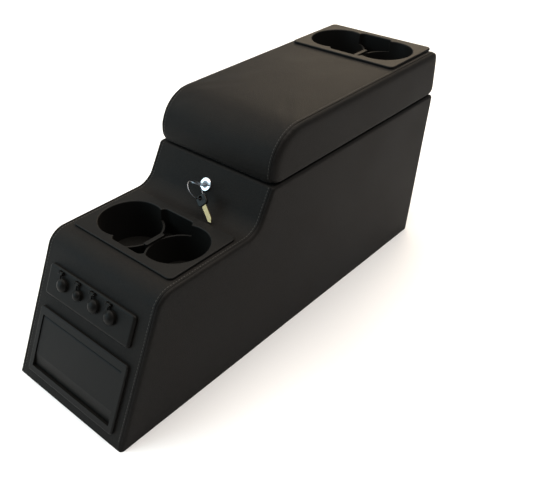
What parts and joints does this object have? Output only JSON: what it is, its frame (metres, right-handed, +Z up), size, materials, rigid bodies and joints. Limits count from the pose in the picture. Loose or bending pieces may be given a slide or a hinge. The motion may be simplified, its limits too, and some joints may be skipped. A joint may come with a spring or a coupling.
{
  "type": "center console",
  "caption": "Vinyl-covered vehicle center console with padded armrest lid, twin cup inserts, capped sockets, a front flap pocket, a cam lock and lift-out bins.",
  "frame": {"origin": "on the floor, in the middle of the overall length and width", "axes": "+Z up, +Y from the fascia towards the rear of the lid, +X to the right of someone who faces the way +Y points"},
  "size_m": [0.24, 0.7606, 0.3485],
  "materials": {
    "black_vinyl": "fine-grained charcoal vinyl",
    "plywood": "raw birch plywood",
    "black_abs": "fine moulded texture",
    "gloss_plastic": "polished moulded plastic",
    "white_polypropylene": "milky moulded plastic",
    "chrome": "polished plating",
    "zinc_steel": "zinc plated",
    "brass": "worn brass",
    "key_grip_plastic": "moulded grip"
  },
  "bodies": {
    "console": {"vinyl_cover": "black_vinyl", "floor_board": "plywood", "fascia_board": "plywood", "deck_board": "plywood", "ramp_board": "plywood", "rear_board": "plywood", "left_side_board": "plywood", "right_side_board": "plywood", "divider_board": "plywood", "left_cleat": "plywood", "right_cleat": "plywood", "front_cup_holder": "black_abs", "hinge_body_leaf": "zinc_steel", "hinge_pin": "zinc_steel", "flap_frame": "black_abs", "flap_pin": "zinc_steel", "front_pocket": "black_abs", "socket_strip": "black_abs", "socket_1": "gloss_plastic", "socket_2": "gloss_plastic", "socket_3": "gloss_plastic", "socket_4": "gloss_plastic", "socket_contact_1": "brass", "socket_contact_2": "brass", "socket_contact_3": "brass", "socket_contact_4": "brass", "cap_pins": "zinc_steel", "lock_barrel": "chrome", "lock_nut": "zinc_steel", "storage_liner": "white_polypropylene", "storage_tray": "black_abs"},
    "lid": {"lid_board": "plywood", "lid_pad": "black_vinyl", "lid_strike": "zinc_steel", "hinge_lid_leaf": "zinc_steel", "rear_cup_holder": "black_abs"},
    "flap": {"flap": "black_abs"},
    "cap_1": {"socket_cap_1": "gloss_plastic"},
    "cap_2": {"socket_cap_2": "gloss_plastic"},
    "cap_3": {"socket_cap_3": "gloss_plastic"},
    "cap_4": {"socket_cap_4": "gloss_plastic"},
    "lock": {"lock_plug": "zinc_steel", "lock_cam": "zinc_steel", "lock_cam_screw": "zinc_steel", "key": "zinc_steel", "key_ring": "zinc_steel"},
    "spare_key": {"spare_key_grip": "key_grip_plastic", "spare_key_blade": "brass"}
  },
  "joints": [
    {"name": "lid_hinge", "type": "hinge", "parent": "console", "child": "lid", "pos_m": [0, 0.3777, 0.2681], "axis": [-1, 0, 0], "range_deg": [0, 95]},
    {"name": "flap_hinge", "type": "hinge", "parent": "console", "child": "flap", "pos_m": [0, -0.3355, 0.09419], "axis": [-1, 0, 0], "range_deg": [0, 85]},
    {"name": "cap_hinge_1", "type": "hinge", "parent": "console", "child": "cap_1", "pos_m": [-0.06639, -0.30805, 0.16908], "axis": [-1, 0, 0], "range_deg": [0, 110]},
    {"name": "cap_hinge_2", "type": "hinge", "parent": "console", "child": "cap_2", "pos_m": [-0.02925, -0.30805, 0.16908], "axis": [-1, 0, 0], "range_deg": [0, 110]},
    {"name": "cap_hinge_3", "type": "hinge", "parent": "console", "child": "cap_3", "pos_m": [0.00421, -0.30805, 0.16908], "axis": [-1, 0, 0], "range_deg": [0, 110]},
    {"name": "cap_hinge_4", "type": "hinge", "parent": "console", "child": "cap_4", "pos_m": [0.03903, -0.30805, 0.16908], "axis": [-1, 0, 0], "range_deg": [0, 110]},
    {"name": "lock_turn", "type": "hinge", "parent": "console", "child": "lock", "pos_m": [0, -0.08162, 0.237], "axis": [0, -0.866, 0.5], "range_deg": [0, 90]},
    {"name": "spare_key_swing", "type": "hinge", "parent": "lock", "child": "spare_key", "pos_m": [0.01792, -0.10985, 0.23331], "axis": [0, -0.866, 0.5], "range_deg": [0, 60]}
  ]
}
